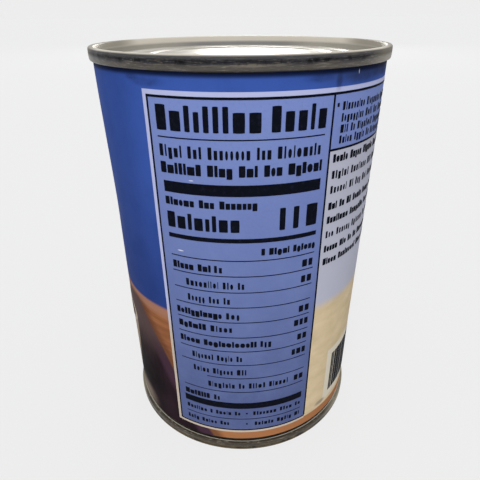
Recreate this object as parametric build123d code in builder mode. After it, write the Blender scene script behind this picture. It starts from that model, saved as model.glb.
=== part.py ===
from build123d import *
from math import degrees
import os

# A shut food can of beans: a tinplate can with a seamed end at top and bottom, and a
# paper label wrapped once round it. Millimetres, +Z up. The origin is the centre of the
# circle that the can stands on.

# ---- the can as a whole ---------------------------------------------------------------
can_height = 112.7            # from the crest of the bottom seam to the crest of the top seam
body_diameter = 74.0          # outside of the side wall
wall_thickness = 0.2          # tinplate of the side wall

# ---- double seams, the same at both ends ----------------------------------------------
seam_overhang = 1.1           # the seam stands this far out from the side wall
seam_height = 3.0             # from the crest to the seam's lower edge
seam_thickness = 1.3          # from the seam's face to the chuck wall, at the crest
seam_crown = 0.1              # swell of the seam's face at half its height
seam_crown_round = 10.0
seam_outer_round = 0.5        # crest, outside
seam_inner_round = 0.4        # crest, inside
seam_hook_round = 0.45        # lower edge, where the end's hook is rolled under

# ---- end plates -----------------------------------------------------------------------
countersink_depth = 3.6       # from the crest to the floor of the groove inside the seam
countersink_width = 1.1       # floor of that groove
countersink_round = 0.4
chuck_wall_lean = 0.4         # the wall inside the seam leans in by this much on its way down
panel_rise = 0.9              # the middle of the plate stands this far above the groove
panel_wall_lean = 0.2
panel_edge_round = 0.4
plate_thickness = 0.25        # tinplate of the plate, under the groove

bead_insets = (4.2, 10.0)     # middle of each stiffening ring, in from the panel's edge
bead_width = 1.6              # flat top of a ring
bead_slope = 0.9              # width of each of its flanks
bead_height = 0.35
bead_round = 0.5

# ---- paper label ----------------------------------------------------------------------
label_thickness = 0.2         # paper with the glue and air behind it
label_top_gap = 0.15          # bare wall under the top seam
label_bottom_gap = 1.4        # bare wall above the bottom seam
lap_width = 8.0               # overlap where the paper's two ends are glued
lap_thickness = 0.12
lap_angle = 52.0               # where the lap lies, in degrees from +X towards +Y

# ---- worked out from the values above ---------------------------------------------------
body_radius = body_diameter / 2
seam_radius = body_radius + seam_overhang
lining_radius = body_radius - wall_thickness
chuck_top_radius = seam_radius - seam_crown - seam_thickness
chuck_foot_radius = chuck_top_radius - chuck_wall_lean
panel_foot_radius = chuck_foot_radius - countersink_width
panel_radius = panel_foot_radius - panel_wall_lean
panel_depth = countersink_depth - panel_rise
underside_depth = countersink_depth + plate_thickness
label_radius = body_radius + label_thickness
label_low = seam_height + label_bottom_gap
label_high = can_height - seam_height - label_top_gap

os.makedirs("parts", exist_ok=True)


def end_corners():
    """Corners of an end's half section: radius, depth under the seam's crest, rounding."""
    seam = [
        (seam_radius - seam_crown, 0, seam_outer_round),
        (seam_radius, seam_height / 2, seam_crown_round),
        (seam_radius - seam_crown, seam_height, seam_hook_round),
        (lining_radius, seam_height, 0),
    ]
    underside = [
        (lining_radius, underside_depth, 0),
        (0, underside_depth, 0),
        (0, panel_depth, 0),
    ]
    beads = []
    for inset in sorted(bead_insets, reverse=True):
        middle = panel_radius - inset
        half_top = bead_width / 2
        half_foot = half_top + bead_slope
        beads += [
            (middle - half_foot, panel_depth, bead_round),
            (middle - half_top, panel_depth - bead_height, bead_round),
            (middle + half_top, panel_depth - bead_height, bead_round),
            (middle + half_foot, panel_depth, bead_round),
        ]
    rim = [
        (panel_radius, panel_depth, panel_edge_round),
        (panel_foot_radius, countersink_depth, countersink_round),
        (chuck_foot_radius, countersink_depth, countersink_round),
        (chuck_top_radius, 0, seam_inner_round),
    ]
    return seam + underside + beads + rim


def end_outline(crest_z, into_can):
    """Draw the closed half section of an end in the XZ plane.

    crest_z is the height of the seam's crest, and into_can is -1 for the top end, whose
    plate lies below its crest, or +1 for the bottom end.
    """
    corners = end_corners()
    points = [(radius, crest_z + into_can * depth) for radius, depth, rounding in corners]
    roundings = [rounding for radius, depth, rounding in corners]
    FilletPolyline(*points, radius=roundings, close=True)


# ---- can body: the side wall with the packed food as one solid ---------------------------
# The wall is a little longer than the food: its two edges run up into the seams and stop
# at their undersides, where the seams' hooks sit on them.
with BuildPart() as can_body:
    with BuildSketch(Plane.XY.offset(underside_depth)):
        Circle(body_radius)
    extrude(amount=can_height - 2 * underside_depth)
    with BuildSketch(Plane.XY.offset(seam_height)):
        Circle(body_radius)
        Circle(lining_radius, mode=Mode.SUBTRACT)
    extrude(amount=can_height - 2 * seam_height)
can_body.part.label = "can_body"
export_step(can_body.part, "parts/can_body.step")

# ---- top end: seam, chuck wall, groove and ringed plate in one pressing -------------------
with BuildPart() as top_end:
    with BuildSketch(Plane.XZ):
        with BuildLine():
            end_outline(can_height, -1)
        make_face()
    revolve(axis=Axis.Z)
top_end.part.label = "top_end"
export_step(top_end.part, "parts/top_end.step")

# ---- bottom end: the same pressing, turned over; the can stands on its crest --------------
with BuildPart() as bottom_end:
    with BuildSketch(Plane.XZ):
        with BuildLine():
            end_outline(0, 1)
        make_face()
    revolve(axis=Axis.Z)
bottom_end.part.label = "bottom_end"
export_step(bottom_end.part, "parts/bottom_end.step")

# ---- label: one turn of paper, thicker where its ends overlap ------------------------------
lap_half_angle = degrees(lap_width / label_radius) / 2
with BuildPart() as label:
    with BuildSketch(Plane.XY.offset(label_low)):
        Circle(label_radius)
        Circle(body_radius, mode=Mode.SUBTRACT)
    extrude(amount=label_high - label_low)
    with BuildSketch(Plane.XY.offset(label_low)):
        with BuildLine():
            outside = CenterArc(
                (0, 0),
                label_radius + lap_thickness,
                lap_angle - lap_half_angle,
                2 * lap_half_angle,
            )
            inside = CenterArc(
                (0, 0),
                label_radius,
                lap_angle - lap_half_angle,
                2 * lap_half_angle,
            )
            Line(outside @ 0, inside @ 0)
            Line(outside @ 1, inside @ 1)
        make_face()
    extrude(amount=label_high - label_low)
label.part.label = "label"
export_step(label.part, "parts/label.step")
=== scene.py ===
# %% [markdown]
# # A shut can of beans
#
# The object is an ordinary food can: a tinplate side wall, two pressed ends rolled on to it
# with double seams, and one sheet of printed paper glued round it. The sizes come from the
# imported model, which is loaded first and never changed. Everything after that is looks:
# turned tinplate for the wall and the ends, a slightly wavy sheet of paper, and the print.
#
# The print is plain on purpose. A real label carries words, so here each word is a row of
# small blocks, and the pictures are fields of colour and simple shapes.

# %% Load the fixed frame
import math
import random

import bpy
from mathutils import Euler, Matrix, Vector


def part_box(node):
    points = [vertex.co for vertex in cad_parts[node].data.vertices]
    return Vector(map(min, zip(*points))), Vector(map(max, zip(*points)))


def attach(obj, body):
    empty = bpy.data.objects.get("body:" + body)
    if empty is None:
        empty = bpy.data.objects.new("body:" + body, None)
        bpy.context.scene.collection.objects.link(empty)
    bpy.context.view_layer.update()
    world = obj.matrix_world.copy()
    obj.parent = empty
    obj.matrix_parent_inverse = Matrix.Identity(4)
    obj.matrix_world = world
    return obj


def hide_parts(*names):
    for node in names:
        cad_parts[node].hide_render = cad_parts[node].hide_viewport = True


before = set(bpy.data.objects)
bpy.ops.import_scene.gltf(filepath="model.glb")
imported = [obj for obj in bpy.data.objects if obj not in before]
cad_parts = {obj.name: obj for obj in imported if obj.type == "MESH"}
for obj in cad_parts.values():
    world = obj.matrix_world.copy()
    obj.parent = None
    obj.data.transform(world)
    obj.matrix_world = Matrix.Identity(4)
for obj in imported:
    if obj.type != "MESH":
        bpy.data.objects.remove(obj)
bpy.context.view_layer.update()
MM = 0.001

# %% [markdown]
# ## Sizes read from the frame
#
# A new piece fits because it takes its size from the node that it stands for. The label's
# box gives the paper's radius and its two edges, and the ends' boxes give the seams. Only
# what a box can't tell, such as the roundings of a seam, is written here as a number.

# %% Heights and radii
label_low, label_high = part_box("label")[0].z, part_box("label")[1].z
label_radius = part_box("label")[1].x
wall_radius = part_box("can_body")[1].x
seam_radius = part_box("top_end")[1].x
can_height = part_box("top_end")[1].z
end_depth = can_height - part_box("top_end")[0].z
round_the_label = math.tau * label_radius

print("label %.2f to %.2f mm high, %.2f mm round" % (
    label_low / MM, label_high / MM, round_the_label / MM))

# %% [markdown]
# ## Small helpers for node trees
#
# Materials and Geometry Nodes are both built from nodes joined by links. Written out in
# full, that takes three lines a node, and a sum of four terms turns into a page. So a
# node's output is wrapped as a value that knows its tree: adding or multiplying two values
# adds the maths node and its links. With that, a formula in a tree reads like a formula.

# %% Values that stand for a node's outputs
class Value:
    """One output of a node, for writing sums with."""

    def __init__(self, tree, socket):
        self.tree = tree
        self.socket = socket

    def __add__(self, other):
        return calc("ADD", self, other)

    def __radd__(self, other):
        return calc("ADD", other, self)

    def __sub__(self, other):
        return calc("SUBTRACT", self, other)

    def __rsub__(self, other):
        return calc("SUBTRACT", other, self)

    def __mul__(self, other):
        return calc("MULTIPLY", self, other)

    def __rmul__(self, other):
        return calc("MULTIPLY", other, self)

    def __truediv__(self, other):
        return calc("DIVIDE", self, other)

    def __neg__(self):
        return self * -1.0


class Node:
    """A node whose outputs are read as values, by name or number."""

    def __init__(self, tree, node):
        self.tree = tree
        self.node = node
        self.inputs = node.inputs

    def __getitem__(self, key):
        return Value(self.tree, self.node.outputs[key])


# %% Node helpers
def feed(socket, value):
    """Link a socket to a value, or set it to a plain number, colour or name."""
    if isinstance(value, Value):
        value.tree.links.new(value.socket, socket)
    else:
        socket.default_value = value


def add(tree, kind, inputs=None, **settings):
    """Add a node, set its options and feed its inputs."""
    made = tree.nodes.new(kind)
    for name, value in settings.items():
        setattr(made, name, value)
    for key, value in (inputs or {}).items():
        feed(made.inputs[key], value)
    return Node(tree, made)


def tree_of(*values):
    """The tree of the first value; plain numbers have none."""
    return next(value.tree for value in values if isinstance(value, Value))


def calc(operation, *values):
    """One step of arithmetic."""
    return add(tree_of(*values), "ShaderNodeMath", dict(enumerate(values)), operation=operation)[0]


def vector(x, y, z):
    """A vector from its three parts."""
    return add(tree_of(x, y, z), "ShaderNodeCombineXYZ", {"X": x, "Y": y, "Z": z})[0]


def split(whole):
    """The three parts of a vector."""
    return add(whole.tree, "ShaderNodeSeparateXYZ", {0: whole})


def ramp(value, low, high, out_low=0.0, out_high=1.0, kind="SMOOTHSTEP"):
    """A step from out_low, below low, to out_high, above high; smooth, or straight if LINEAR."""
    inputs = dict(enumerate((value, low, high, out_low, out_high)))
    return add(value.tree, "ShaderNodeMapRange", inputs, interpolation_type=kind)[0]


def stretch(value, low, high):
    """Carry a value that runs from -0.5 to 0.5 to the stretch from low to high."""
    span = high - low
    return low + (value + 0.5) * span


SHAPE, STUFF, PLACE = "NodeSocketGeometry", "NodeSocketMaterial", "NodeSocketVector"
NUMBERS = {float: "NodeSocketFloat", int: "NodeSocketInt", tuple: "NodeSocketVector"}


def begin_group(name, kind, inputs, output, output_kind):
    """Start a node group; gives its tree, its input node and its one output socket.

    Each input has its start value, from which its kind of socket follows, or else a kind.
    """
    tree = bpy.data.node_groups.new(name, kind)
    for label, start in inputs.items():
        socket = start if isinstance(start, str) else NUMBERS[type(start)]
        made = tree.interface.new_socket(name=label, in_out="INPUT", socket_type=socket)
        if not isinstance(start, str):
            made.default_value = start
    tree.interface.new_socket(name=output, in_out="OUTPUT", socket_type=output_kind)
    given = add(tree, "NodeGroupInput")
    result = add(tree, "NodeGroupOutput").inputs[0]
    return tree, given, result


def shape_group(name, inputs):
    """Start a group of Geometry Nodes that gives a shape."""
    return begin_group(name, "GeometryNodeTree", inputs, "Geometry", SHAPE)


def mask_group(name, inputs):
    """Start a group of shader nodes that gives a mask."""
    return begin_group(name, "ShaderNodeTree", inputs, "Mask", NUMBERS[float])


def use_group(tree, group, inputs):
    """Place a group inside a tree of the same kind, feed it and give what comes out."""
    kind = tree.bl_idname.replace("Tree", "Group")
    made = tree.nodes.new(kind)
    made.node_tree = group
    for key, value in inputs.items():
        feed(made.inputs[key], value)
    return Value(tree, made.outputs[0])


def paint(red, green, blue):
    """A colour from its everyday 0 to 255 values, as the linear light that shaders use."""
    def linear(part):
        part /= 255
        return part / 12.92 if part <= 0.04045 else ((part + 0.055) / 1.055) ** 2.4
    return (linear(red), linear(green), linear(blue), 1.0)


# %% [markdown]
# ## One shape that every layer follows
#
# A can that has been packed, shelved and carried isn't a perfect cylinder. Its wall ripples
# by a tenth or two of a millimetre, and it has one shallow dent. The paper lies on the wall
# and the ink lies on the paper, so all three must ripple together. The surest way is one
# Geometry Nodes group that works out how far the surface stands in or out at any place, and
# that every layer calls. The noise is read at a point on a ring, not at an angle, so it
# meets itself at the back without a step. The seams hold the wall round, so the swell fades
# out towards both of them.

# %% How far the wall stands in or out
DENT_HALF_TURN, DENT_HALF_HEIGHT = 0.42, 17 * MM
HOLD = 14 * MM                            # how far from a seam the wall is held round
RIPPLE_PITCH = 22.0                       # how fast the noise changes up the can


def make_swell():
    """Group: angle and height in, radial swell out."""
    tree, given, result = begin_group("can_swell", "GeometryNodeTree", {
        "Angle": 0.0, "Height": 0.0, "Ripple": 0.0, "Dent Angle": 0.0, "Dent Height": 0.0,
        "Dent Depth": 0.0, "Low": 0.0, "High": 1.0}, "Swell", NUMBERS[float])
    angle, height = given["Angle"], given["Height"]
    ring = vector(calc("SINE", angle), calc("COSINE", angle), height * RIPPLE_PITCH)
    noise = add(tree, "ShaderNodeTexNoise", {"Vector": ring, "Scale": 1.3, "Detail": 1.5})
    ripple = (noise[0] - 0.5) * 2.0 * given["Ripple"]
    across = (angle - given["Dent Angle"]) / DENT_HALF_TURN
    along = (height - given["Dent Height"]) / DENT_HALF_HEIGHT
    away = across * across + along * along
    dent = given["Dent Depth"] * calc("EXPONENT", -away)
    hold = (ramp(height, given["Low"], given["Low"] + HOLD)
            * ramp(height, given["High"], given["High"] - HOLD))
    feed(result, (ripple - dent) * hold)
    return tree


can_swell = make_swell()

RIPPLE = 0.22 * MM
DENT = {"Dent Angle": -1.22, "Dent Height": 74 * MM, "Dent Depth": 0.42 * MM}
SWELL = {"Ripple": RIPPLE, **DENT, "Low": label_low - 1 * MM, "High": label_high + 1 * MM}


def swell_at(tree, given, angle, height):
    """The swell at a place, with the settings that a tree was given."""
    settings = {name: given[name] for name in SWELL}
    return use_group(tree, can_swell, {"Angle": angle, "Height": height, **settings})


# %% [markdown]
# ## From a flat sheet to a can
#
# A printer designs a label flat, and so do the cells below. Flat artwork stands upright in
# front of the can: x runs along the paper, z is the height above the shelf, and a point's
# -y is how far it lifts off the surface. One group rolls any such artwork round the can.
# Before it bends anything it stores each point's flat place, in millimetres, as an
# attribute called `flat`. Every material of the label reads that attribute, so the print
# stays put on the paper whatever the paper does.

# %% Small steps of Geometry Nodes
def here(tree):
    """The place of each point, as three parts."""
    return split(add(tree, "GeometryNodeInputPosition")[0])


def grid(tree, size, columns, rows):
    """A flat square grid about the origin."""
    return add(tree, "GeometryNodeMeshGrid", {
        "Size X": size, "Size Y": size, "Vertices X": columns, "Vertices Y": rows})[0]


def move(tree, shape, to=None, by=None):
    """Send every point of a shape to a position, or move it by an offset."""
    way = {"Offset": by} if to is None else {"Position": to}
    return add(tree, "GeometryNodeSetPosition", {"Geometry": shape, **way})[0]


def keep(tree, shape, name, value, domain="POINT", kind="FLOAT_VECTOR"):
    """Store a value on a shape as a named attribute."""
    inputs = {"Geometry": shape, "Name": name, "Value": value}
    return add(tree, "GeometryNodeStoreNamedAttribute", inputs, data_type=kind, domain=domain)[0]


def on_can(angle, reach, height):
    """The point at an angle from the front, a reach from the axis and a height."""
    return vector(reach * calc("SINE", angle), reach * -calc("COSINE", angle), height)


# %% Roll flat artwork round the can
def make_roll():
    """Group: flat artwork in, the same artwork round the can out."""
    tree, given, result = shape_group("roll_round_can", {
        "Geometry": SHAPE, "Radius": label_radius, **SWELL})
    place = add(tree, "GeometryNodeInputPosition")[0]
    in_mm = add(tree, "ShaderNodeVectorMath", {0: place, "Scale": 1 / MM}, operation="SCALE")[0]
    kept = keep(tree, given["Geometry"], "flat", in_mm)
    flat = split(place)
    angle = flat[0] / label_radius
    swell = swell_at(tree, given, angle, flat[2])
    reach = given["Radius"] + (swell - flat[1])
    feed(result, move(tree, kept, on_can(angle, reach, flat[2])))
    return tree


roll_round_can = make_roll()


def make_thicken():
    """Group: flat faces in, a closed slab out, raised towards -y."""
    tree, given, result = shape_group("thicken_flat", {"Geometry": SHAPE, "Thickness": 0.1 * MM})
    up = vector(0.0, -given["Thickness"], 0.0)
    raised = add(tree, "GeometryNodeExtrudeMesh", {
        "Mesh": given["Geometry"], "Offset": up, "Offset Scale": 1.0, "Individual": False})[0]
    under = add(tree, "GeometryNodeFlipFaces", {"Mesh": given["Geometry"]})[0]
    both = add(tree, "GeometryNodeJoinGeometry")
    for side in (raised, under):
        feed(both.inputs[0], side)
    closed = add(tree, "GeometryNodeMergeByDistance", {"Geometry": both[0], "Distance": 0.001 * MM})
    feed(result, closed[0])
    return tree


thicken_flat = make_thicken()


# %% The last steps of every tree
def hand_out(tree, given, result, shape):
    """Make a shape real, give it the tree's material and send it out."""
    real = add(tree, "GeometryNodeRealizeInstances", {"Geometry": shape})[0]
    dressed = add(
        tree, "GeometryNodeSetMaterial", {"Geometry": real, "Material": given["Material"]})
    feed(result, dressed[0])


def hand_out_rolled(tree, given, result, shape, thickness, radius=None):
    """Thicken a flat shape, roll it round the can and hand it out."""
    thick = use_group(tree, thicken_flat, {"Geometry": shape, "Thickness": given[thickness]})
    rolled = {"Geometry": thick} if radius is None else {"Geometry": thick, "Radius": radius}
    hand_out(tree, given, result, use_group(tree, roll_round_can, rolled))


# %% [markdown]
# ## Running a tree and keeping its mesh
#
# A Geometry Nodes modifier has to be turned into a plain mesh before the piece is handed
# over, because a model that travels between programs carries meshes and not node trees. The
# helper sets the modifier's inputs by their identifiers, reads the finished mesh once, and
# takes the modifier off again.

# %% Run a tree on a starting mesh
def grow(name, tree, settings, start=None):
    """Make an object whose mesh is what the tree makes of the starting mesh."""
    piece = bpy.data.objects.new(name, start or bpy.data.meshes.new(name))
    bpy.context.scene.collection.objects.link(piece)
    modifier = piece.modifiers.new("grow", "NODES")
    modifier.node_group = tree
    for item in tree.interface.items_tree:
        if item.item_type == "SOCKET" and item.in_out == "INPUT" and item.name in settings:
            modifier[item.identifier] = settings[item.name]
    view = bpy.context.evaluated_depsgraph_get()
    view.update()
    mesh = bpy.data.meshes.new_from_object(piece.evaluated_get(view))
    piece.modifiers.remove(modifier)
    piece.data = mesh
    mesh.name = name
    print("%s: %d faces" % (name, len(mesh.polygons)))
    return piece


def smooth(piece, crease=40.0):
    """Shade a piece smooth, with edges sharper than the crease angle left crisp."""
    piece.data.shade_smooth()
    piece.data.set_sharp_from_angle(angle=math.radians(crease))
    return piece


# %% [markdown]
# ## Shared finishes
#
# Two effects turn up in more than one material. Tinplate and printed paper both carry
# smudges, soft blotches where hands and other cans have rubbed, and both carry fine
# directional grain. Each effect is a shader group with named sockets, so a material chooses
# its own scale and direction.

# %% Smudges and grain
def make_smudges():
    """Group: blotchy mask from 0 to 1; Cover sets how much of the surface it takes."""
    tree, given, result = mask_group("smudges", {
        "Place": PLACE, "Scale": 300.0, "Cover": 0.5, "Edge": 0.12})
    noise = add(tree, "ShaderNodeTexNoise", {
        "Vector": given["Place"], "Scale": given["Scale"], "Detail": 4.0, "Roughness": 0.62})
    start = 1.0 - given["Cover"]
    mask = ramp(noise[0], start - given["Edge"], start + given["Edge"])
    feed(result, mask)
    return tree


def make_grain():
    """Group: fine streaks along one direction, from -1 to 1."""
    tree, given, result = begin_group("grain", "ShaderNodeTree", {
        "Place": PLACE, "Stretch": (1.0, 1.0, 1.0), "Scale": 1000.0}, "Grain", NUMBERS[float])
    drawn = add(tree, "ShaderNodeVectorMath", {0: given["Place"], 1: given["Stretch"]},
                operation="MULTIPLY")[0]
    noise = add(tree, "ShaderNodeTexNoise", {
        "Vector": drawn, "Scale": given["Scale"], "Detail": 3.0, "Roughness": 0.6})
    feed(result, (noise[0] - 0.5) * 2.0)
    return tree


smudges = make_smudges()
grain = make_grain()


def smudges_at(place, scale, cover, edge):
    """Smudges read at a place."""
    return use_group(place.tree, smudges, {
        "Place": place, "Scale": scale, "Cover": cover, "Edge": edge})


def grain_at(place, stretch_by, scale):
    """Grain read at a place."""
    return use_group(place.tree, grain, {"Place": place, "Stretch": stretch_by, "Scale": scale})


# %% Parts of a material
def new_material(name):
    """A material with only its Principled shader and output; gives all three."""
    material = bpy.data.materials.new(name)
    material.use_nodes = True
    tree = material.node_tree
    tree.nodes.clear()
    shader = add(tree, "ShaderNodeBsdfPrincipled")
    add(tree, "ShaderNodeOutputMaterial", {"Surface": shader[0]})
    return material, tree, shader


def mix(under, over, mask):
    """Lay one colour over another where the mask is 1."""
    inputs = {"Factor": mask, 6: under, 7: over}
    return add(mask.tree, "ShaderNodeMix", inputs, data_type="RGBA")[2]


def relief(shader, height, distance):
    """Give a shader a bump from a height between 0 and 1, distance metres deep."""
    bump = add(shader.tree, "ShaderNodeBump", {
        "Height": height, "Distance": distance, "Strength": 1.0})
    feed(shader.inputs["Normal"], bump[0])


# %% [markdown]
# ## Tinplate
#
# A can end is bright tin on steel. Its plate keeps the fine straight rolling lines of the
# sheet that it was cut from, while the face of the seam has been squeezed by rollers and
# then rubbed against every other can in the case, so it is streaked along its length and
# spotted with scuffs; its colour is painted in darker bands, a painted reflection. Both are
# one metal here: a mask by radius and depth picks out the seam's face, and leaves the plate
# and the crest bright. The crest and the top of the chuck wall are painted pale, rubbed metal
# with a painted reflection; the groove is painted dark, dust with painted shade; and a few
# stains run across the face. Streaks need no special coordinates: noise squeezed along the
# can's axis runs round the seam by itself.

# %% Sizes of a pressed end
seam_height, seam_crown, seam_thickness = 3.0 * MM, 0.1 * MM, 1.3 * MM
groove_depth, groove_width, chuck_lean = 3.6 * MM, 1.1 * MM, 0.4 * MM
panel_depth, panel_lean = 2.7 * MM, 0.2 * MM
ring_insets = (10.0 * MM, 4.2 * MM)
ring_top, ring_slope, ring_height = 1.6 * MM, 0.9 * MM, 0.35 * MM
wall_thickness = 0.2 * MM

lining_radius = wall_radius - wall_thickness
crest_radius = seam_radius - seam_crown
chuck_top = crest_radius - seam_thickness
chuck_foot = chuck_top - chuck_lean
panel_foot = chuck_foot - groove_width
panel_radius = panel_foot - panel_lean

# %% Tinplate of the ends
STAINS = ((-29.0, 3.2), (-24.6, 1.3), (24.4, 3.0), (18.0, 1.6))    # mm from the middle, half width


def make_tinplate(name, crest, into, upper, middle, lower):
    """Tinplate for an end: crest is its height, into is -1 for the top end, 1 for the bottom.

    upper, middle and lower are the colours of the seam's face, from its crest down: painted light
    and dark bands of reflection.
    """
    material, tree, shader = new_material(name)
    place = add(tree, "ShaderNodeTexCoord")["Object"]
    part = split(place)
    side = calc("ABSOLUTE", part[0])
    radius = calc("SQRT", part[0] * part[0] + part[1] * part[1])
    depth = (part[2] - crest) * into
    outside = ramp(radius, seam_radius - 1.0 * MM, seam_radius - 0.7 * MM)
    face = outside * ramp(depth, 0.04 * MM, 0.36 * MM)

    rolled = grain_at(place, (1.0, 14.0, 4.0), 260.0)
    streaks = grain_at(place, (0.16, 0.16, 2.2), 900.0)
    scratches = grain_at(place, (0.35, 0.35, 4.0), 1500.0)
    blotches = smudges_at(place, 90.0, 0.5, 0.25)
    scuffs = smudges_at(place, 300.0, 0.45, 0.06)

    # The plate, with the crest and the top of the chuck wall painted pale: rubbed metal with a
    # painted reflection.
    bright = mix(paint(187, 182, 171), paint(173, 167, 154), blotches)
    rubbed = (ramp(radius, chuck_foot - 0.1 * MM, chuck_foot + 0.1 * MM)
              * ramp(depth, 1.8 * MM, 1.0 * MM))
    # Painted shade: the painted pale reflection is dimmed towards left and right.
    dimmed_at_sides = ramp(side, 30 * MM, 35 * MM) * 0.8
    bright = mix(bright, mix(paint(226, 219, 206), paint(148, 142, 129), dimmed_at_sides), rubbed)
    # Dust and painted shade darken the groove and the foot of the chuck wall; the back middle is
    # darkest and bluest, a painted dark reflection.
    in_groove = ramp(radius, panel_foot - 0.4 * MM, panel_foot) * ramp(depth, 1.2 * MM, 2.0 * MM)
    dust_and_shade = in_groove * 0.72
    shaded_at_back = ramp(part[1], 8 * MM, 26 * MM) * ramp(side, 26 * MM, 12 * MM)
    bright = mix(bright, mix(paint(158, 154, 144), paint(104, 106, 112), shaded_at_back), dust_and_shade)
    # The face is painted in bands, a painted reflection, and its dark middle wavers up and down a
    # little as it runs round.
    drift = depth + streaks * (0.7 * MM)
    face_wear_and_reflection = mix(upper, middle, ramp(drift, 0.5 * MM, 1.1 * MM))
    face_wear_and_reflection = mix(face_wear_and_reflection, lower, ramp(drift, 1.5 * MM, 2.2 * MM))
    face_wear_and_reflection = mix(face_wear_and_reflection, paint(128, 122, 110), ramp(streaks, 0.05, 0.4) * 0.5)
    face_wear_and_reflection = mix(face_wear_and_reflection, paint(150, 142, 128), ramp(scratches, 0.1, 0.4) * 0.45)
    face_wear_and_reflection = mix(face_wear_and_reflection, paint(26, 26, 30), ramp(scratches, -0.1, -0.4) * 0.4)
    # Dirt and stains keep to the middle of the face.
    in_middle = ramp(depth, 0.5 * MM, 1.2 * MM) * ramp(depth, 1.5 * MM, 2.3 * MM, 1.0, 0.0)
    face_wear_and_reflection = mix(face_wear_and_reflection, paint(22, 22, 25), scuffs * in_middle * 0.85)
    at_front = ramp(part[1], 0.0, -10 * MM)
    for across, half_width in STAINS:
        away = calc("ABSOLUTE", part[0] - across * MM)
        stain = ramp(away, half_width * MM, 0.3 * half_width * MM) * at_front
        face_wear_and_reflection = mix(face_wear_and_reflection, paint(20, 20, 24), stain * (0.45 + scuffs * 0.5) * in_middle)
    # The face is painted paler at its left and right, a painted reflection.
    sheen_at_sides = calc("MAXIMUM", ramp(part[0], 26 * MM, 32 * MM), ramp(part[0], -32.5 * MM, -36 * MM))
    face_wear_and_reflection = mix(face_wear_and_reflection, paint(150, 142, 120), sheen_at_sides * 0.42)

    feed(shader.inputs["Base Color"], mix(bright, face_wear_and_reflection, face))
    feed(shader.inputs["Metallic"], 1.0 - dust_and_shade)
    rough = 0.29 + rolled * 0.02 + face * 0.06 + rubbed * 0.2 + blotches * 0.05
    feed(shader.inputs["Roughness"], rough)
    relief(shader, rolled * 0.012 + (streaks + scuffs) * face, 0.01 * MM)
    return material


# The face colours of each end, from the crest down, paint light and dark bands of reflection; the
# bottom end's are brown.
top_tin = make_tinplate("tinplate_top", can_height, -1.0,
                        paint(90, 90, 93), paint(50, 50, 55), paint(76, 71, 65))
bottom_tin = make_tinplate("tinplate_bottom", 0.0, 1.0,
                           paint(112, 97, 66), paint(82, 70, 48), paint(50, 43, 32))

# %% [markdown]
# ## Turning the ends on a lathe
#
# An end is a surface of revolution, so its whole shape is one half section. The section is a
# list of corners, each with its radius, its depth under the crest and its rounding, as a
# toolmaker would dimension the press. It could be spun with bmesh, but a Geometry Nodes
# lathe keeps its steps and its tiny out-of-roundness as named inputs. The lathe makes a grid
# with one row for each point of the section and one column for each step of the turn, and
# sends every grid point to its place.

# %% Rounding a section's corners
def rounded(corners, steps=5):
    """The points of an outline whose corners (radius, depth, rounding) are arcs."""
    points = []
    for index, (x, z, rounding) in enumerate(corners):
        corner = Vector((x, z))
        if rounding == 0:
            points.append(corner)
            continue
        before = (Vector(corners[index - 1][:2]) - corner).normalized()
        after = (Vector(corners[index + 1][:2]) - corner).normalized()
        half = before.angle(after) / 2
        centre = corner + (before + after).normalized() * (rounding / math.sin(half))
        first = corner + before * (rounding / math.tan(half)) - centre
        last = corner + after * (rounding / math.tan(half)) - centre
        turn = first.angle_signed(last)
        for step in range(steps + 1):
            arm = first.copy()
            arm.rotate(Matrix.Rotation(-turn * step / steps, 2))
            points.append(centre + arm)
    return points


# %% The lathe
def make_lathe():
    """Tree: the points of a half section in, a turned closed surface out."""
    tree, given, result = shape_group("lathe", {
        "Geometry": SHAPE, "Around": 256, "Wobble": 0.0, "Follow Wall": 0.0, "Material": STUFF,
        **SWELL})
    place = add(tree, "GeometryNodeInputPosition")[0]
    rows = add(tree, "GeometryNodeAttributeDomainSize", {0: given["Geometry"]})["Point Count"]
    sheet = grid(tree, 1.0, given["Around"] + 1.0, rows)
    at = split(place)
    angle = at[0] * math.tau
    row = calc("ROUND", (at[1] + 0.5) * (rows - 1.0))
    section = split(add(tree, "GeometryNodeSampleIndex", {
        "Geometry": given["Geometry"], "Value": place, "Index": row},
        data_type="FLOAT_VECTOR", domain="POINT")[0])
    three_lobes = calc("SINE", angle * 3.0 + 0.8)
    seven_lobes = calc("SINE", angle * 7.0)
    swell = swell_at(tree, given, angle, section[2])
    push = swell * given["Follow Wall"] + given["Wobble"] * (three_lobes + seven_lobes)
    reach = section[0] + push * (section[0] / wall_radius)
    turned = move(tree, sheet, on_can(angle, reach, section[2]))
    closed = add(tree, "GeometryNodeMergeByDistance", {"Geometry": turned, "Distance": 0.002 * MM})
    hand_out(tree, given, result, closed[0])
    return tree


lathe = make_lathe()


# %% Helpers for turned pieces
def section_mesh(name, points):
    """A bare mesh of points, the half section that the lathe turns."""
    mesh = bpy.data.meshes.new(name)
    mesh.from_pydata(points, [], [])
    return mesh


def face_outwards(piece):
    """Turn a closed piece the right way out if its signed volume is negative."""
    mesh = piece.data
    mesh.calc_loop_triangles()
    volume = 0.0
    for triangle in mesh.loop_triangles:
        a, b, c = (mesh.vertices[i].co for i in triangle.vertices)
        volume += a.dot(b.cross(c)) / 6
    if volume < 0:
        mesh.flip_normals()
    print("%s: volume %.2f cm3" % (piece.name, abs(volume) * 1e6))


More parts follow.
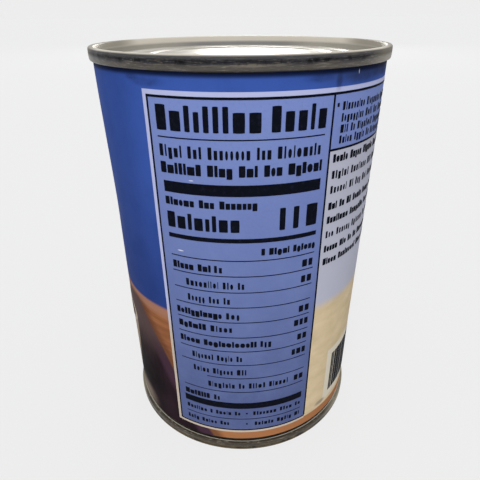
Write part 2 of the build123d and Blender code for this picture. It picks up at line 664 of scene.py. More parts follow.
# %% The half section of an end
def end_section(crest, into):
    """Rounded half section of an end as points in the XZ plane, from its axis round to it."""
    corners = [(0.0, panel_depth, 0.0)]
    for inset in ring_insets:
        middle = panel_radius - inset
        half_top, half_foot = ring_top / 2, ring_top / 2 + ring_slope
        corners += [
            (middle - half_foot, panel_depth, 0.6 * MM),
            (middle - half_top, panel_depth - ring_height, 0.6 * MM),
            (middle + half_top, panel_depth - ring_height, 0.6 * MM),
            (middle + half_foot, panel_depth, 0.6 * MM)]
    corners += [
        (panel_radius, panel_depth, 0.4 * MM),
        (panel_foot, groove_depth, 0.4 * MM),
        (chuck_foot, groove_depth, 0.4 * MM),
        (chuck_foot + 0.05 * MM, 1.6 * MM, 2.0 * MM),
        (chuck_top, 0.0, 0.4 * MM),
        (crest_radius, 0.0, 0.5 * MM),
        (seam_radius, seam_height / 2, 10.0 * MM),
        (crest_radius, seam_height, 0.45 * MM),
        (lining_radius, seam_height, 0.0),
        (lining_radius, end_depth, 0.0),
        (0.0, end_depth, 0.0)]
    return [(point.x, 0.0, crest + into * point.y) for point in rounded(corners)]


# %% Both ends
def turn_end(name, node, crest, into, material):
    """Turn one end and let it stand for its CAD node."""
    section = section_mesh(name + "_section", end_section(crest, into))
    piece = grow(name, lathe, {"Around": 320, "Wobble": 0.004 * MM, "Material": material}, section)
    face_outwards(smooth(piece, 50.0))
    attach(piece, "root")
    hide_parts(node)


turn_end("top_end_pressing", "top_end", can_height, -1.0, top_tin)
turn_end("bottom_end_pressing", "bottom_end", 0.0, 1.0, bottom_tin)

# %% [markdown]
# ## The side wall
#
# Only a narrow strip of the wall shows, under the paper's lower edge, but the wall is made
# whole so that the model has a real body. It is turned on the same lathe, and this time the
# lathe follows the swell, so that the paper can lie on it. Its section has a point every two
# millimetres of height, because a ripple needs points to ride on.

# %% Wall material
def make_wall_tin():
    """Tinplate of the wall, painted dark brown all over as painted shade and reflection in the
    strip under the paper.
    """
    material, tree, shader = new_material("tinplate_wall")
    place = add(tree, "ShaderNodeTexCoord")["Object"]
    lines = grain_at(place, (0.2, 0.2, 3.0), 700.0)
    blotches = smudges_at(place, 350.0, 0.5, 0.2)
    # Dark brown base: painted shade and reflection; the blotches are the metal's own.
    feed(shader.inputs["Base Color"], mix(paint(72, 66, 55), paint(42, 38, 32), blotches))
    shader.inputs["Metallic"].default_value = 1.0
    feed(shader.inputs["Roughness"], 0.36 + lines * 0.08)
    relief(shader, lines, 0.01 * MM)
    return material


# %% The wall
wall_skin = wall_radius - 0.02 * MM       # just under the paper
wall_top, wall_foot = can_height - seam_height, seam_height
levels = 54
contents_top = can_height - end_depth
wall_section = [
    (0.0, 0.0, contents_top), (lining_radius, 0.0, contents_top), (lining_radius, 0.0, wall_top)]
for level in range(levels + 1):
    wall_section.append((wall_skin, 0.0, wall_top + (wall_foot - wall_top) * level / levels))
wall_section += [
    (lining_radius, 0.0, wall_foot), (lining_radius, 0.0, end_depth), (0.0, 0.0, end_depth)]

wall = grow("side_wall", lathe, {
    "Around": 240, "Follow Wall": 1.0, "Material": make_wall_tin()},
    section_mesh("wall_section", wall_section))
face_outwards(smooth(wall, 50.0))
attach(wall, "root")
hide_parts("can_body")

# %% [markdown]
# ## The sheet of paper
#
# A can label is one rectangle of thin paper. It starts under a stripe of glue, goes once
# round, and its far end is glued over its near end, which leaves a straight step down the
# back. A grid in Geometry Nodes makes the rectangle, a mask lifts its last few millimetres
# by the lap, and the two groups above give it thickness and roll it up.

# %% Where the paper starts and ends
lap_turn = math.radians(142.0)            # middle of the lap, turning left from the front
lap_lift = 0.12 * MM
lap_width = 8.0 * MM
paper_thickness = 0.11 * MM
paper_right = lap_turn * label_radius + lap_width / 2
paper_left = paper_right - lap_width - round_the_label
print("paper from %.1f to %.1f mm" % (paper_left / MM, paper_right / MM))


# %% The tree that makes the sheet
def make_sheet():
    """Tree: nothing in, the rolled sheet of paper out."""
    tree, given, result = shape_group("paper_sheet", {
        "Geometry": SHAPE, "Left": 0.0, "Right": 1.0, "Columns": 10, "Rows": 10,
        "Thickness": 0.1 * MM, "Lap": 0.0, "Lap Lift": 0.0, "Sheet Low": 0.0, "Sheet High": 1.0,
        "Material": STUFF})
    sheet = grid(tree, 1.0, given["Columns"], given["Rows"])
    at = here(tree)
    along = stretch(at[0], given["Left"], given["Right"])
    up = stretch(at[1], given["Sheet Low"], given["Sheet High"])
    lap_start = given["Right"] - given["Lap"]
    lifted = ramp(along, lap_start - 2.5 * MM, lap_start) * given["Lap Lift"]
    standing = vector(along, given["Thickness"] - lifted, up)
    hand_out_rolled(tree, given, result, move(tree, sheet, standing), "Thickness")
    return tree


# %% [markdown]
# ## Fields of colour
#
# The print is a stack of plain fields: a blue ground, a wooden table, a dark cloth and a
# bowl for the picture, and pale and periwinkle panels for the tables. Each field is a mask
# over the flat sheet, so it needs only a box, an oval or a slanting line. The three masks
# are groups, and a small class keeps the colour so far and lays the next field over it, as
# a printer lays one ink over the last.

# %% Masks over the flat sheet, in millimetres
def make_box_mask():
    """Group: 1 inside a box, with edges as soft as Soft."""
    tree, given, result = mask_group("box_mask", {
        "Across": 0.0, "Up": 0.0, "Left": 0.0, "Right": 1.0, "Low": 0.0, "High": 1.0,
        "Soft": 0.04})
    mask = 1.0
    for value, edge, sign in (("Across", "Left", 1.0), ("Across", "Right", -1.0),
                              ("Up", "Low", 1.0), ("Up", "High", -1.0)):
        past = (given[value] - given[edge]) * sign
        mask = mask * ramp(past, -given["Soft"], given["Soft"])
    feed(result, mask)
    return tree


def make_oval_mask():
    """Group: 1 inside an oval; Soft is a share of its size."""
    tree, given, result = mask_group("oval_mask", {
        "Across": 0.0, "Up": 0.0, "Middle": 0.0, "Height": 0.0, "Half Width": 1.0,
        "Half Height": 1.0, "Soft": 0.02})
    x = (given["Across"] - given["Middle"]) / given["Half Width"]
    z = (given["Up"] - given["Height"]) / given["Half Height"]
    away = calc("SQRT", x * x + z * z)
    feed(result, ramp(away, 1.0 - given["Soft"], 1.0 + given["Soft"], 1.0, 0.0))
    return tree


def make_slant_mask():
    """Group: 1 under a line through a point that falls by Fall mm for each mm to the right."""
    tree, given, result = mask_group("slant_mask", {
        "Across": 0.0, "Up": 0.0, "Middle": 0.0, "Height": 0.0, "Fall": 1.0, "Soft": 0.5})
    dx = given["Across"] - given["Middle"]
    dz = given["Up"] - given["Height"]
    above = dz + dx * given["Fall"]
    feed(result, ramp(above, -given["Soft"], given["Soft"], 1.0, 0.0))
    return tree


box_mask, oval_mask, slant_mask = make_box_mask(), make_oval_mask(), make_slant_mask()


# %% Laying one ink over another
class Artwork:
    """The colour of a printed sheet, built up field by field."""

    def __init__(self, tree):
        self.tree = tree
        self.flat = add(tree, "ShaderNodeAttribute", attribute_name="flat")["Vector"]
        part = split(self.flat)
        self.across, self.up = part[0], part[2]
        self.colour = paint(255, 255, 255)

    def mask(self, group, sizes):
        return use_group(self.tree, group, {"Across": self.across, "Up": self.up, **sizes})

    def box(self, soft=0.05, **edges):
        return self.mask(box_mask, {"Soft": soft, **edges})

    def oval(self, middle, height, half_width, half_height, soft=0.01):
        return self.mask(oval_mask, {
            "Middle": middle, "Height": height, "Half Width": half_width,
            "Half Height": half_height, "Soft": soft})

    def slant(self, middle, height, fall, soft):
        return self.mask(slant_mask, {
            "Middle": middle, "Height": height, "Fall": fall, "Soft": soft})

    def grain(self, stretch_by, scale):
        return grain_at(self.flat, stretch_by, scale)

    def smudges(self, scale, cover, edge):
        return smudges_at(self.flat, scale, cover, edge)

    def lay(self, ink, mask, share=1.0):
        self.colour = mix(self.colour, ink, mask * share)

    def finish(self, shader, colour, rough, fibre_depth):
        """Coated stock: satin, hardly mirroring, with fibres as the finest relief."""
        feed(shader.inputs["Base Color"], colour)
        feed(shader.inputs["Roughness"], rough)
        shader.inputs["Specular IOR Level"].default_value = 0.006
        relief(shader, self.grain((1.0, 1.0, 0.4), 3.0), fibre_depth)


# %% The layout of the fields, in millimetres across the paper and up the can
TABLE = {"Left": -19.9, "Right": 20.45, "Low": 8.7, "High": 104.7}
SIDE_PANEL = {"Left": 20.45, "Right": 60.0, "Low": 93.4, "High": 104.7}
FRAME_LINE = 0.5
BORDER = 1.45
PICTURE_TOP = 50.0
STRIP_TOP = 7.7
BOWL_MIDDLE, BOWL_RIM_HEIGHT, BOWL_FOOT = -82.0, 37.5, 9.0
BOWL_HALF_WIDTH, BOWL_RIM_HALF, BOWL_DEPTH = 41.7, 9.5, 50.0
SPOON = (-42.0, 6.0, 8.0, 5.4)
HEM = ((-28.4, 39.2, 1.3), (-16.0, 17.5, 1.9))        # points on the cloth's hem, and its fall
LEFT_HEM_MOVED_IN = 13.0
PLATE_MIDDLE, PLATE_HEIGHT = -82.0, 81.0
CODE = {"Left": 31.5, "Right": 56.0, "Low": 12.0, "High": 28.0}
RECIPE = {"Left": 63.5, "Right": 85.5, "Low": 57.0, "High": 103.0}
ALL_ROUND = {"Left": -200.0, "Right": 200.0}


def grown(box, by):
    """A box made larger on every side, or smaller if by is negative."""
    return {"Left": box["Left"] - by, "Right": box["Right"] + by,
            "Low": box["Low"] - by, "High": box["High"] + by}


# %% [markdown]
# ### The picture: ground, table, cloth and bowl
#
# The picture runs right round the can behind the panels: blue above, a wooden table below.
# The table's grain is noise stretched along the paper, with slow changes of tone from board
# to board. The cloth hangs on a slant at either side of the bowl. The bowl is ovals laid
# over each other, and its glaze darkens to one side because the picture has light of its own.

# %% Ground and table
def lay_ground(art):
    """The blue ground, a little uneven as large flat prints are, and painted darker towards the
    foot and the left as painted shade.
    """
    # Painted shade: the ground is darker towards the foot.
    low_to_high = ramp(art.up, 42.0, 104.0)
    art.colour = mix(paint(38, 58, 118), paint(55, 84, 160), low_to_high)
    art.lay(paint(66, 92, 166), art.smudges(0.05, 0.45, 0.3), 0.25)
    art.lay(paint(26, 40, 92), art.smudges(0.13, 0.4, 0.2), 0.18)
    # Painted shade: darker to the left of the table.
    art.lay(paint(36, 52, 102), ramp(art.across, -21.0, -30.0), 0.3)


def lay_table(art):
    """A wooden table with a pale far edge."""
    long_grain = art.grain((0.10, 1.0, 1.0), 0.55)
    boards = art.grain((0.35, 1.0, 0.7), 0.10)
    wood = mix(paint(121, 75, 49), paint(157, 105, 72), 0.5 + long_grain * 0.9)
    wood = mix(wood, paint(164, 108, 58), ramp(boards, 0.0, 0.6) * 0.8)
    wood = mix(wood, paint(100, 58, 36), ramp(boards, 0.0, -0.6) * 0.6)
    wood = mix(wood, paint(164, 112, 74), ramp(art.up, 13.0, 7.0) * 0.75)
    far_edge = art.box(1.2, **ALL_ROUND, Low=PICTURE_TOP - 3.0, High=PICTURE_TOP + 5)
    wood = mix(wood, paint(160, 118, 100), far_edge * 0.7)
    art.lay(wood, art.box(0.6, **ALL_ROUND, Low=-5.0, High=PICTURE_TOP))


# %% Cloth and bowl
def hem_mask(art, inset, soft):
    """1 on the cloth, as far as inset mm inside its two hems."""
    mask = 1.0
    for side, moved_in in ((1.0, 0.0), (-1.0, LEFT_HEM_MOVED_IN)):
        for across, height, fall in HEM:
            from_bowl = (across - inset - moved_in - BOWL_MIDDLE) * side
            mask = mask * art.slant(BOWL_MIDDLE + from_bowl, height, fall * side, soft)
    return mask


def lay_cloth(art):
    """A dark folded cloth under the bowl."""
    folds = art.grain((1.0, 1.0, 0.35), 0.11)
    weave = art.grain((1.0, 1.0, 1.0), 1.1)
    cloth = mix(paint(20, 14, 17), paint(44, 31, 38), 0.5 + folds * 1.2)
    cloth = mix(cloth, paint(88, 70, 70), ramp(art.up, 26.0, 40.0) * 0.85)
    near_hem = (1.0 - hem_mask(art, 5.0, 3.0)) * ramp(art.up, 40.0, 26.0)
    cloth = mix(cloth, paint(68, 46, 61), near_hem * 0.85)
    cloth = mix(cloth, paint(74, 52, 64), ramp(weave, 0.1, 0.7) * 0.2)
    cloth = mix(cloth, paint(140, 127, 114), art.oval(*SPOON, 0.5) * 0.7)
    under_bowl = art.box(
        1.5, Left=ALL_ROUND["Left"], Right=0.0, Low=-5.0, High=PICTURE_TOP - 2.0)
    art.lay(paint(74, 46, 34), hem_mask(art, -3.0, 3.0) * under_bowl, 0.6)
    art.lay(cloth, hem_mask(art, 0.0, 1.3) * under_bowl)


def lay_bowl(art):
    """The bowl, its rim, and its shadow on the cloth."""
    shadow = art.oval(BOWL_MIDDLE + 8.0, 17.5, BOWL_HALF_WIDTH + 6.0, 9.5, 0.25)
    art.lay(paint(14, 11, 13), shadow, 0.85)
    body = (art.oval(BOWL_MIDDLE, BOWL_RIM_HEIGHT, BOWL_HALF_WIDTH, BOWL_DEPTH, 0.012)
            * art.box(0.15, **ALL_ROUND, Low=BOWL_FOOT, High=BOWL_RIM_HEIGHT))
    to_right = ramp(art.across, BOWL_MIDDLE - BOWL_HALF_WIDTH, BOWL_MIDDLE + BOWL_HALF_WIDTH)
    glaze = mix(paint(214, 203, 186), paint(150, 136, 118), to_right)
    glaze = mix(paint(76, 68, 59), glaze, ramp(art.up, BOWL_FOOT, 31.0))
    glaze = mix(glaze, paint(120, 104, 86), art.smudges(0.5, 0.3, 0.04) * 0.35)
    art.lay(glaze, body)
    # The rim's outer edge, its inner edge, and the dark inside under the beans.
    for ink, lower, smaller, flatter, soft in (
            (paint(186, 172, 156), 0.0, 0.0, 0.0, 0.01),
            (paint(160, 143, 126), 0.1, 1.3, 0.75, 0.01),
            (paint(58, 32, 22), 0.2, 2.6, 1.5, 0.02)):
        art.lay(ink, art.oval(BOWL_MIDDLE, BOWL_RIM_HEIGHT - lower, BOWL_HALF_WIDTH - smaller,
                              BOWL_RIM_HALF - flatter, soft))


# %% [markdown]
# ### The panels
#
# A food can carries a table of what is in it and blocks of small type beside it. Here they
# are empty panels until the type comes. Each pale border is a box a little larger than its
# panel, laid first, so the panel covers all of it but a margin. The panels are painted darker
# towards the foot of the can as painted shade, and the pale inks turn from lilac to cream there.

# %% Panels
def lay_title_plate(art):
    """A bare oval plate over the bowl, where a title would go."""
    for ink, half_width, half_height in (
            (paint(180, 185, 218), 32.0, 17.5), (paint(30, 46, 104), 30.9, 16.4),
            (paint(180, 185, 218), 30.3, 15.8), (paint(188, 192, 220), 29.6, 15.1)):
        art.lay(ink, art.oval(PLATE_MIDDLE, PLATE_HEIGHT, half_width, half_height, 0.006))


def lay_recipe(art):
    """A small pale panel on the far side."""
    art.lay(paint(178, 183, 217), art.box(**grown(RECIPE, BORDER)))
    art.lay(paint(28, 42, 96), art.box(**RECIPE))
    art.lay(paint(182, 186, 214), art.box(**grown(RECIPE, -FRAME_LINE)))


def lay_side_field(art):
    """Pale field for the small type, cream below, with a margin for the block of bars."""
    specks = art.grain((0.5, 1.0, 0.9), 0.22)
    cream = mix(paint(190, 172, 138), paint(208, 190, 158), 0.5 + specks * 1.3)
    field = mix(cream, paint(172, 174, 190), ramp(art.up, 48.8, 52.5))
    art.lay(field, art.box(Left=TABLE["Right"], Right=SIDE_PANEL["Right"], Low=STRIP_TOP,
                           High=SIDE_PANEL["Low"]))
    art.lay(paint(206, 199, 182), art.box(0.25, **grown(CODE, 2.6)))
    art.lay(paint(120, 114, 104), art.oval(27.5, 9.6, 2.2, 0.9, 0.5), 0.7)


def lay_tables(art):
    """The pale border and the two periwinkle panels."""
    pale = mix(paint(186, 174, 160), paint(172, 178, 214), ramp(art.up, 40.0, 56.0))
    border = art.box(Left=TABLE["Left"] - BORDER, Right=SIDE_PANEL["Right"] + BORDER,
                     Low=TABLE["Low"] - 1.4, High=TABLE["High"] + BORDER)
    left_of_field = ramp(art.across, TABLE["Right"] - 0.05, TABLE["Right"] + 0.05, 1.0, 0.0)
    over_strip = ramp(art.up, STRIP_TOP - 0.2, STRIP_TOP + 0.2)
    art.lay(pale, border * calc("MAXIMUM", left_of_field, over_strip))
    lay_side_field(art)
    # Painted shade: the panels are darker towards the foot.
    foot_to_head = ramp(art.up, 20.0, 104.0, kind="LINEAR")
    panel = mix(paint(78, 89, 130), paint(114, 131, 188), foot_to_head)
    panel = mix(panel, paint(126, 142, 190), art.smudges(0.09, 0.45, 0.2) * 0.2)
    specks = ramp(art.grain((1.0, 1.0, 1.0), 1.4), 0.0, 0.6)
    panel = mix(panel, paint(92, 106, 160), specks * 0.35)
    art.lay(panel, art.box(**TABLE))
    art.lay(panel, art.box(**SIDE_PANEL))


# %% [markdown]
# ### Wear, painted shade under the rim, and the paper's own surface
#
# On top of all inks go pale nicks, where handling has flaked the ink off, dark navy patches
# just under the rim, and a painted shadow of the seam along the paper's top edge. They are
# laid last. The surface is coated paper, so it is satin, with fibres as the finest relief and
# a few rubbed patches.

# %% Wear and painted shade under the rim
# Ovals: middle, height, half width and half height, in millimetres.
NICKS = ((-15.0, 70.0, 0.75, 0.16), (-14.0, 73.6, 0.2, 0.25), (27.2, 108.7, 0.09, 0.45),
         (-11.0, 87.9, 0.5, 0.12), (44.0, 60.0, 0.6, 0.15), (-60.0, 58.0, 0.9, 0.14),
         (-104.0, 92.0, 0.15, 0.9))
DARK_PATCHES_UNDER_RIM = ((-20.0, 107.6, 3.6, 0.9), (-24.0, 108.3, 1.6, 0.6), (16.5, 108.2, 3.0, 0.8),
               (21.3, 107.4, 0.8, 1.7), (29.0, 107.6, 5.0, 1.2), (42.0, 108.0, 9.0, 1.0),
               (-96.0, 108.0, 4.0, 0.8), (70.0, 108.0, 2.6, 0.8))


def lay_wear_and_rim_shade(art):
    """Dark navy patches and a painted shadow under the rim, and pale nicks."""
    patchy = 0.35 + art.smudges(0.3, 0.5, 0.25) * 0.65
    # Dark navy patches just under the rim.
    for oval in DARK_PATCHES_UNDER_RIM:
        art.lay(paint(24, 29, 50), art.oval(*oval, 0.6) * patchy, 0.6)
    # Darker just under the rim, to the right of the table.
    right_of_table = ramp(art.across, 12.0, 26.0)
    near_rim = ramp(art.up, 105.6, 108.4)
    art.lay(paint(40, 44, 56), right_of_table * near_rim, 0.55)
    # Painted shadow of the seam along the paper's top edge.
    seam_shadow = ramp(art.up, label_high / MM - 1.3, label_high / MM - 0.4)
    art.lay(paint(16, 20, 36), seam_shadow, 0.8)
    for oval in NICKS:
        art.lay(paint(206, 210, 224), art.oval(*oval, 0.4), 0.85)
    art.lay(paint(196, 200, 218), art.smudges(1.3, 0.14, 0.015), 0.35)


# %% The printed paper
def make_paper():
    """Printed, coated paper."""
    material, tree, shader = new_material("printed_paper")
    art = Artwork(tree)
    for lay_field in (lay_ground, lay_table, lay_cloth, lay_bowl, lay_title_plate, lay_recipe,
                      lay_tables, lay_wear_and_rim_shade):
        lay_field(art)
    rubbed = art.smudges(0.16, 0.45, 0.2)
    art.finish(shader, art.colour, 0.45 + rubbed * 0.12, 0.006 * MM)
    return material


paper = grow("paper_label", make_sheet(), {
    "Left": paper_left, "Right": paper_right, "Columns": 401, "Rows": 121,
    "Thickness": paper_thickness, "Lap": lap_width, "Lap Lift": lap_lift,
    "Sheet Low": label_low, "Sheet High": label_high, "Material": make_paper()})
smooth(paper, 40.0)
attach(paper, "root")
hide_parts("label")

# %% [markdown]
# ## One stamp for all small shapes
#
# Blocks of type, rules, bars and the beans of the picture are all small flat shapes. One
# group makes them from a square grid: squeezing each row by its height turns the square,
# little by little, into an oval, and a bend makes the oval a bean. The grid keeps a few
# points inside the shape, so that it can follow the can when it is rolled.

# %% The stamp
def make_stamp():
    """Group: an upright shape one unit wide and high; its place in it is kept as `spot`."""
    tree, given, result = shape_group("stamp", {
        "Columns": 4, "Rows": 4, "Rounding": 0.0, "Bend": 0.0})
    square = grid(tree, 2.0, given["Columns"], given["Rows"])
    at = here(tree)

    def squeezed(this, other):
        loss = given["Rounding"] * (other * other)
        return this * calc("SQRT", 1.0 - loss * 0.5)

    across, up = squeezed(at[0], at[1]), squeezed(at[1], at[0])
    kept = keep(tree, square, "spot", vector(across, 0.0, up))
    drop = given["Bend"] * (across * across)
    shape = vector(across * 0.5, 0.0, (up - drop) * 0.5)
    feed(result, move(tree, kept, shape))
    return tree


stamp = make_stamp()

# %% [markdown]
# ## Type as rows of blocks
#
# No words are printed on this can. Each word is a row of small plain blocks, wide or narrow
# and tall or short as the letters of a real line would be, so a table still reads as small
# type from arm's length. A mesh with one vertex per word says where a word starts, how long
# and tall it is and how many blocks it has. The tree copies the vertex once per block,
# draws a width for each copy, and adds up the widths to its left, which Accumulate Field
# does within each word. That is how a typesetter spaces letters.

# %% The tree that sets a line of blocks
ROUND_SHARE, O_ROUNDING = 0.4, 0.85       # short blocks that are as round as an o, and how round
TAIL = 0.2                                # how far a tail hangs, as a share of the height


def random_number(tree, given, salt, low=0.0, high=1.0):
    """A number for each element, drawn with the tree's seed and a salt of its own."""
    return add(tree, "FunctionNodeRandomValue", {
        "Min": low, "Max": high, "Seed": given["Seed"] + salt}, data_type="FLOAT")["Value"]


def make_type_tree():
    """Tree: one vertex per word in, blocks of ink on the can out."""
    tree, given, result = shape_group("type_blocks", {
        "Geometry": SHAPE, "Columns": 4, "Rows": 4, "Rounding": 0.0, "Uneven": 0.0,
        "Narrow": 0.4, "Short Height": 0.76, "Seed": 1, "Lift": 0.012 * MM, "Ink": 0.028 * MM,
        "Material": STUFF})

    def word(name):
        return add(tree, "GeometryNodeInputNamedAttribute", {"Name": name}, data_type="FLOAT")[0]

    def under(salt, share):
        return calc("LESS_THAN", random_number(tree, given, salt), share)

    copies = add(tree, "GeometryNodeDuplicateElements", {
        "Geometry": given["Geometry"], "Amount": word("count")}, domain="POINT")
    # A short block is as tall as an o. The first block of a word is never short, and a tall
    # block after it is a narrow one, as an l is beside an o.
    inside = calc("GREATER_THAN", copies["Duplicate Index"], 0.5)
    short = under(7.0, word("short")) * inside
    narrow = (inside - short) * calc("GREATER_THAN", word("short"), 0.0)
    own_width = (1.0 - narrow * given["Narrow"]
                 + given["Uneven"] * (random_number(tree, given, 0.0) - 0.5))
    widths = add(tree, "GeometryNodeAccumulateField", {
        "Value": own_width, "Group ID": word("word")}, data_type="FLOAT", domain="POINT")
    unit = word("long") / widths["Total"]
    middle = unit * (widths["Trailing"] + own_width * 0.5)
    wide = own_width * unit - word("long") / word("count") * word("gap")

    cut = short * (1.0 - given["Short Height"])
    tail = short * under(13.0, word("tails")) * TAIL
    tall = word("tall") * (1.0 - cut + tail)
    rise = tall * 0.5 - tail * word("tall")
    stepped = move(tree, copies["Geometry"], by=vector(middle, 0.0, rise))

    both_stamps = add(tree, "GeometryNodeJoinGeometry")
    for rounding in (O_ROUNDING, given["Rounding"]):
        one = use_group(tree, stamp, {
            "Columns": given["Columns"], "Rows": given["Rows"], "Rounding": rounding})
        feed(both_stamps.inputs[0], add(tree, "GeometryNodeGeometryToInstance", {0: one})[0])
    blocks = add(tree, "GeometryNodeInstanceOnPoints", {
        "Points": stepped, "Instance": both_stamps[0], "Pick Instance": True,
        "Instance Index": short * under(21.0, ROUND_SHARE), "Scale": vector(wide, 1.0, tall)})[0]
    real = add(tree, "GeometryNodeRealizeInstances", {"Geometry": blocks})[0]
    hand_out_rolled(tree, given, result, real, "Ink", given["Lift"] + label_radius)
    return tree


type_blocks = make_type_tree()

# %% [markdown]
# ### Setting the words
#
# A phrase is given as a stretch of a line and the number of blocks in each word, and the
# helper shares the stretch out. Bold type has narrow gaps, light type has wide ones, and a
# figure has no short blocks. A few blocks hang below the line, as the tail of a y does.
# Rules and bars are words of one block with no gap. The largest words are seen too well to
# leave to chance, so a pattern says for each of their blocks whether it is wide or a post,
# and whether it is tall or short.

# %% Words, lines and bars
WORD_SPACE = 0.8                             # between words, in blocks
BOLD = {"gap": 0.17, "short": 0.7, "tails": 0.16}
LIGHT = {"gap": 0.4, "short": 0.7, "tails": 0.16}
FAINT = {"gap": 0.34, "short": 0.7, "tails": 0.16}
FIGURE = {"gap": 0.27, "short": 0.0, "tails": 0.0}
SOLID = {"gap": 0.0, "short": 0.0, "tails": 0.0}


def phrase(low, tall, left, right, blocks, weight):
    """Words of so many blocks each, spread over a stretch of a line."""
    pitch = (right - left) / (sum(blocks) + WORD_SPACE * (len(blocks) - 1))
    words = []
    for count in blocks:
        long = count * pitch
        words.append({"at": (left, low), "long": long, "tall": tall, "count": count, **weight})
        left += (count + WORD_SPACE) * pitch
    return words


def bar(low, high, left, right):
    """One solid bar or rule."""
    return phrase(low, high - low, left, right, (1,), SOLID)


WIDE, SHORT_BLOCK = 2.1, 0.78                # in posts, and as a share of the height


def large_word(low, tall, left, right, pattern, space):
    """A large word of solid blocks: W wide and w wide but short, P a post and p a short one."""
    widths = [WIDE if mark in "Ww" else 1.0 for mark in pattern]
    post = (right - left) / (sum(widths) + space * (len(pattern) - 1))
    blocks = []
    for mark, width in zip(pattern, widths):
        top = low + tall * (1.0 if mark in "WP" else SHORT_BLOCK)
        blocks += bar(low, top, left, left + width * post)
        left += (width + space) * post
    return blocks


def word_mesh(name, words):
    """One vertex per word, in metres, with the word's sizes as attributes."""
    mesh = bpy.data.meshes.new(name)
    mesh.from_pydata([(x * MM, 0.0, z * MM) for x, z in (word["at"] for word in words)], [], [])
    for key, scale in (("long", MM), ("tall", MM), ("count", 1.0), ("gap", 1.0), ("short", 1.0),
                       ("tails", 1.0)):
        layer = mesh.attributes.new(key, "FLOAT", "POINT")
        layer.data.foreach_set("value", [word[key] * scale for word in words])
    numbers = mesh.attributes.new("word", "FLOAT", "POINT")
    numbers.data.foreach_set("value", [float(index) for index in range(len(words))])
    return mesh


# %% Ink
def make_ink():
    """Dark printing ink, a little worn."""
    material, tree, shader = new_material("printing_ink")
    art = Artwork(tree)
    worn = art.smudges(0.9, 0.35, 0.15)
    colour = mix(paint(14, 16, 25), paint(25, 29, 42), worn)
    art.finish(shader, colour, 0.4 + worn * 0.15, 0.004 * MM)
    return material


ink = make_ink()


def print_words(name, words, columns=4, rows=4, rounding=0.0, uneven=0.0, seed=1):
    """Set the words as ink on the paper."""
    piece = grow(name, type_blocks, {
        "Columns": columns, "Rows": rows, "Rounding": rounding, "Uneven": uneven,
        "Seed": seed, "Material": ink}, word_mesh(name + "_words", words))
    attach(piece, "root")


# %% The big table: heading, lines and figures
large_type = []
for line in (
        # low, tall, left, right, pattern, space
        (98.3, 5.2, -18.3, 4.2, "WwPpPPPww", 0.72),
        (98.3, 5.2, 6.3, 18.7, "WwwPw", 0.95),
        (76.0, 4.0, -17.8, -0.4, "WwPwpPww", 0.62),
        (76.1, 5.5, 8.8, 18.4, "PPW", 1.4)):
    large_type += large_word(*line)
print_words("large_type", large_type, rounding=0.12)

table_type = []
for line in (
        # low, tall, left, right, blocks in each word, weight
        (92.8, 2.6, -18.4, 18.1, (5, 3, 8, 3, 9), LIGHT),
        (89.1, 2.5, -18.4, 18.7, (7, 4, 3, 3, 6), BOLD),
        (81.7, 1.9, -18.0, 3.7, (6, 3, 7), BOLD),
        (69.9, 1.8, 4.6, 18.7, (1, 5, 6), BOLD),
        (15.0, 1.6, -17.6, -0.5, (7, 1, 5, 2), FAINT),
        (15.0, 1.6, 3.0, 18.5, (7, 4, 2), FAINT),
        (10.4, 1.6, -17.6, -4.0, (4, 5, 3), FAINT),
        (10.4, 1.6, 3.5, 18.5, (6, 5, 2), FAINT)):
    table_type += phrase(*line)

ROW_TALL = 2.0
for low, bold, light, figure in (
        # low, then bold words, light words and a figure, each as left, right, blocks
        (65.0, (-17.6, -7.4, (5, 3)), (-6.9, -4.5, (2,)), (15.1, 18.5, (2,))),
        (60.4, None, (-14.4, 0.8, (9, 3, 2)), (15.1, 18.5, (2,))),
        (55.8, None, (-14.3, -2.8, (5, 3, 2)), None),
        (51.1, (-17.8, -5.1, (11,)), (-4.3, -0.4, (3,)), (15.1, 18.6, (2,))),
        (46.7, (-17.6, -9.5, (6,)), (-8.6, -2.4, (5,)), (14.0, 18.6, (3,))),
        (41.6, (-17.6, 4.0, (5, 12)), (4.7, 8.1, (3,)), (15.3, 18.6, (2,))),
        (36.5, None, (-14.4, 0.1, (7, 5, 2)), (13.9, 18.6, (3,))),
        (31.5, None, (-14.3, 1.3, (5, 6, 3)), None),
        (26.3, None, (-10.1, 13.6, (8, 2, 5, 6)), (15.2, 18.6, (2,))),
        (21.1, (-17.7, -9.6, (7,)), (-8.6, -6.5, (2,)), None)):
    for words, weight in ((bold, BOLD), (light, LIGHT), (figure, FIGURE)):
        if words:
            table_type += phrase(low, ROW_TALL, *words, weight)
print_words("table_type", table_type, rounding=0.12, uneven=0.3, seed=3)

# %% Small type at the side, with words of any length
draw = random.Random(11)


def filler(low, tall, left, right, pitch, weight):
    """A line of words of random lengths."""
    words = []
    while True:
        count = draw.randint(2, 9)
        if left + count * pitch > right:
            return words
        words += phrase(low, tall, left, left + count * pitch, (count,), weight)
        left += (count + WORD_SPACE) * pitch


side_type = phrase(102.2, 0.8, 21.4, 22.0, (1,), SOLID)
for low in (101.4, 99.0, 96.6, 94.3):
    side_type += filler(low, 1.75, 22.9, 58.5, 0.92, LIGHT)
for low, weight in ((90.2, BOLD), (86.4, LIGHT), (82.8, LIGHT), (78.7, BOLD),
                    (75.1, BOLD), (71.2, LIGHT), (67.2, BOLD), (63.5, BOLD)):
    side_type += filler(low, 1.9, 21.7, 58.5, 1.02, weight)
side_type += phrase(97.5, 2.6, RECIPE["Left"] + 2, RECIPE["Right"] - 2, (6, 5), BOLD)
line_step = 3.3
for line in range(11):
    side_type += filler(93.0 - line_step * line, 1.5, RECIPE["Left"] + 2, RECIPE["Right"] - 1.5,
                        0.85, LIGHT)
print_words("side_type", side_type, rounding=0.12, uneven=0.3, seed=5)

